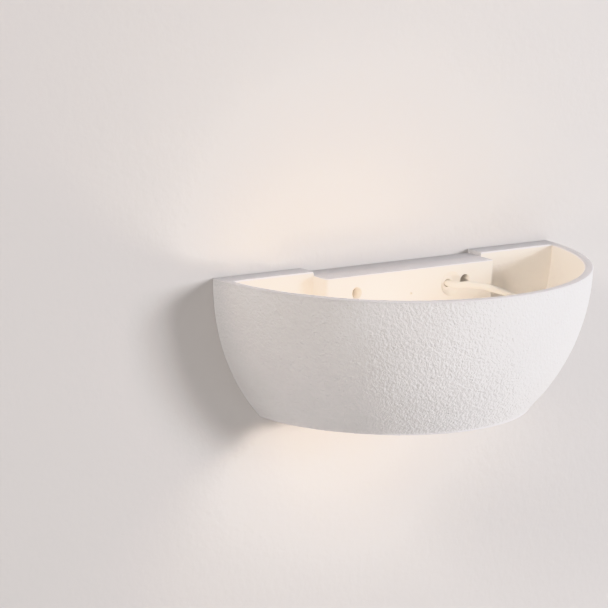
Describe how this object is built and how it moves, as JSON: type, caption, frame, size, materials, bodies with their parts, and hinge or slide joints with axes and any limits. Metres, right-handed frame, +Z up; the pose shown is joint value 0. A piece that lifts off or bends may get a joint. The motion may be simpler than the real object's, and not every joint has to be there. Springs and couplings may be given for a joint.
{
  "type": "wall sconce",
  "caption": "Half-bowl plaster wall light, open above and below, with a wiring box at its back and a screw-in lamp in a lampholder behind the bowl.",
  "frame": {"origin": "middle of the two wall fixing slots, on the wall plane", "axes": "+X to the right along the rim, -Y out of the wall into the room, +Z up"},
  "size_m": [0.33, 0.165, 0.115],
  "materials": {
    "plaster": "matt, sandy cast plaster",
    "zinc_steel": "zinc plated, dull",
    "vulcan_fibre": "matt vulcanised fibre",
    "terminal_brass": "bright turned brass",
    "clamp_steel": "bright plated steel",
    "tinned_copper": "dull tin plate",
    "nylon": "satin moulded nylon",
    "lead_sheath": "satin extruded sheath",
    "core_brown": "satin insulation",
    "core_blue": "satin insulation",
    "core_green": "satin insulation, green and yellow",
    "white_enamel": "satin baked enamel",
    "holder_white": "moulded thermoset, soft gloss",
    "porcelain": "white glaze",
    "sleeve_brass": "rolled, nickelled brass",
    "spring_bronze": "bare spring bronze",
    "opal_diffuser": "satin opal",
    "lamp_body": "moulded, soft gloss",
    "lamp_cap": "rolled aluminium",
    "black_glass": "glossy black",
    "contact_metal": "soldered brass",
    "board_white": "white lacquer on an aluminium board",
    "phosphor": "silicone with yellow phosphor",
    "circuit_green": "lacquered board with its parts"
  },
  "bodies": {
    "fitting": {"plaster_shell": "plaster", "wall_bracket": "zinc_steel", "bracket_nuts": "zinc_steel", "shell_screws": "zinc_steel", "shell_washers": "vulcan_fibre", "earth_screw": "terminal_brass", "terminal_block": "nylon", "terminal_tubes": "terminal_brass", "terminal_screws": "clamp_steel", "terminal_fixing": "zinc_steel", "lead_stop": "nylon", "lead_stop_screw": "zinc_steel", "lamp_lead": "lead_sheath", "core_live": "core_brown", "core_neutral": "core_blue", "earth_link": "core_green", "earth_tags": "tinned_copper", "holder_bracket": "white_enamel", "holder_bolts": "zinc_steel", "holder_washers": "zinc_steel", "holder_nuts": "zinc_steel", "nipple": "zinc_steel", "tooth_washer": "zinc_steel", "nipple_nut": "zinc_steel", "entry_bush": "nylon", "holder_cap": "holder_white", "holder_insert": "porcelain", "thread_sleeve": "sleeve_brass", "centre_contact": "spring_bronze", "holder_terminals": "terminal_brass", "holder_terminal_screws": "clamp_steel", "holder_skirt": "holder_white"},
    "bulb_contact": {"bulb_tip": "contact_metal", "bulb_insulator": "black_glass"},
    "bulb": {"bulb_globe": "opal_diffuser", "bulb_housing": "lamp_body", "bulb_screw_cap": "lamp_cap", "led_board": "board_white", "led_chips": "phosphor", "bulb_driver": "circuit_green"}
  },
  "joints": [
    {"name": "bulb_travel", "type": "slide", "parent": "fitting", "child": "bulb_contact", "axis": [-1, 0, 0], "range_m": [0, 0.0181]},
    {"name": "bulb_turn", "type": "hinge", "parent": "bulb_contact", "child": "bulb", "pos_m": [0, -0.088, -0.034], "axis": [-1, 0, 0], "range_deg": [0, 1801]}
  ],
  "couplings": [
    {"joint": "bulb_turn", "follows": "bulb_travel", "rad_per_m": 1735.7}
  ]
}
